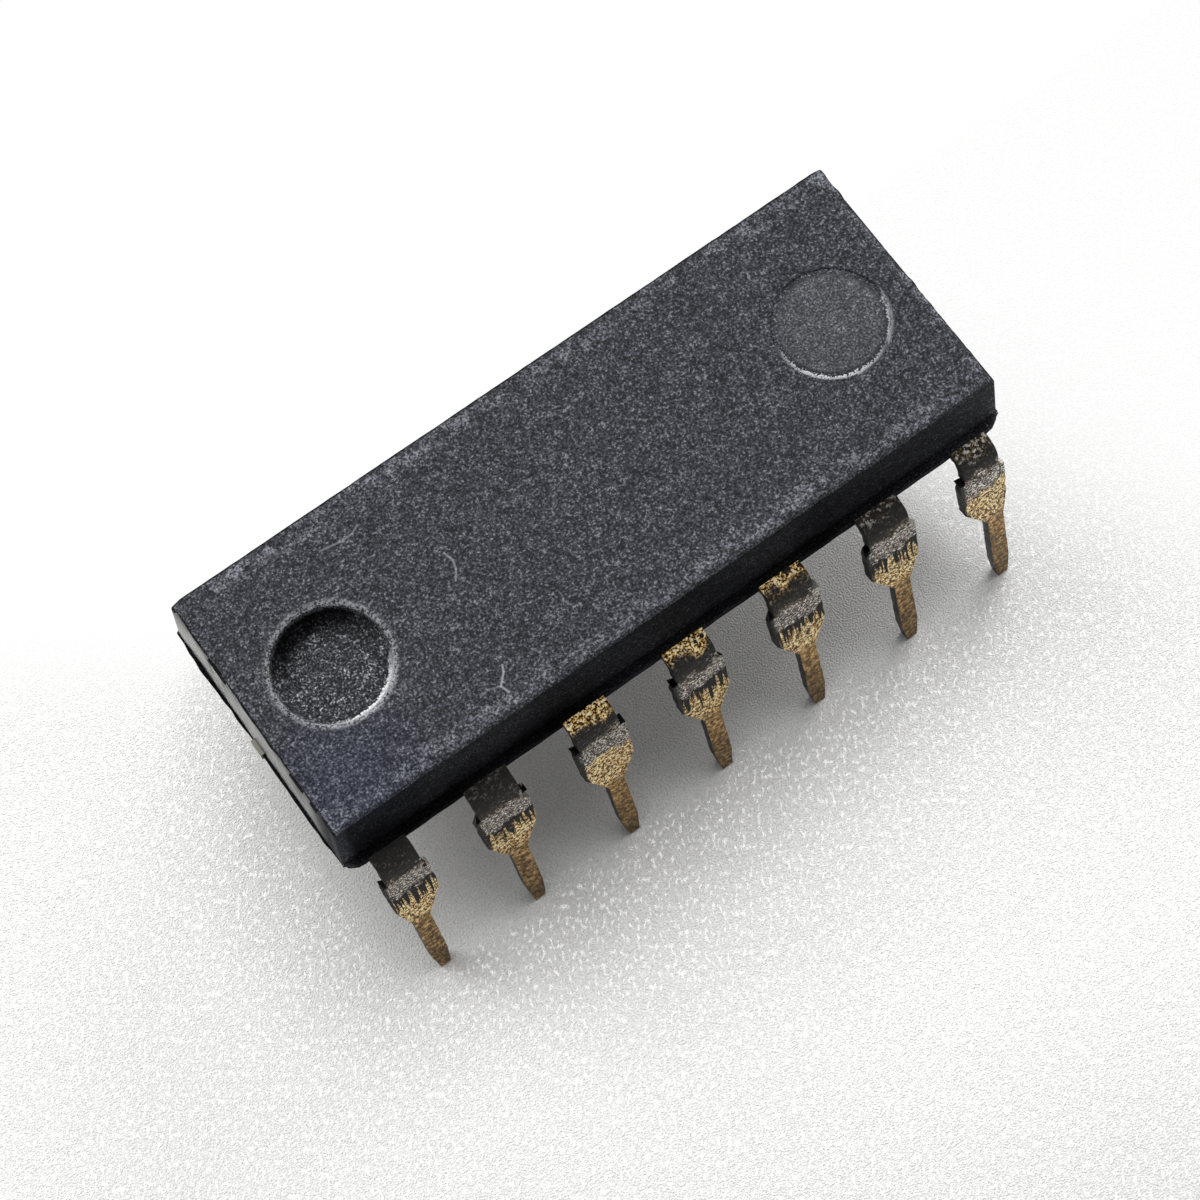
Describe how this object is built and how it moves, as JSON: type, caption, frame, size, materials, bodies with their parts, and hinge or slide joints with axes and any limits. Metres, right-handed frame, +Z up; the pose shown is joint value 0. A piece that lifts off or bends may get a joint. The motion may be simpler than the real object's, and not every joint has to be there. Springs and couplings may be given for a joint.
{
  "type": "dip integrated circuit chip",
  "caption": "Oblong moulded plastic body with a row of bent, tapering flat metal leads down each long side, and a round index dimple on top.",
  "frame": {"origin": "centre of the footprint, at the height of the lead tips", "axes": "+X along the body from the lead 1 end to the other end, +Y towards the far row of leads, +Z up, out of the top face"},
  "size_m": [0.0172, 0.0096, 0.0071],
  "materials": {
    "moulding_compound": "dull moulded epoxy, scuffed on top",
    "plated_leads": "thin gold plate, tarnished and scraped",
    "lead_frame_inside": "clean gold plate",
    "die_adhesive": "cured silver-filled paste",
    "silicon": "polished",
    "gold_wire": "drawn"
  },
  "bodies": {
    "root": {"moulded_body": "moulding_compound", "die_paddle": "lead_frame_inside", "die_attach": "die_adhesive", "silicon_die": "silicon", "lead_01": "plated_leads", "lead_02": "plated_leads", "lead_03": "plated_leads", "lead_04": "plated_leads", "lead_05": "plated_leads", "lead_06": "plated_leads", "lead_07": "plated_leads", "lead_08": "plated_leads", "lead_09": "plated_leads", "lead_10": "plated_leads", "lead_11": "plated_leads", "lead_12": "plated_leads", "lead_13": "plated_leads", "lead_14": "plated_leads", "bond_wire_01": "gold_wire", "bond_wire_02": "gold_wire", "bond_wire_03": "gold_wire", "bond_wire_04": "gold_wire", "bond_wire_05": "gold_wire", "bond_wire_06": "gold_wire", "bond_wire_07": "gold_wire", "bond_wire_08": "gold_wire", "bond_wire_09": "gold_wire", "bond_wire_10": "gold_wire", "bond_wire_11": "gold_wire", "bond_wire_12": "gold_wire", "bond_wire_13": "gold_wire", "bond_wire_14": "gold_wire"}
  },
  "joints": []
}
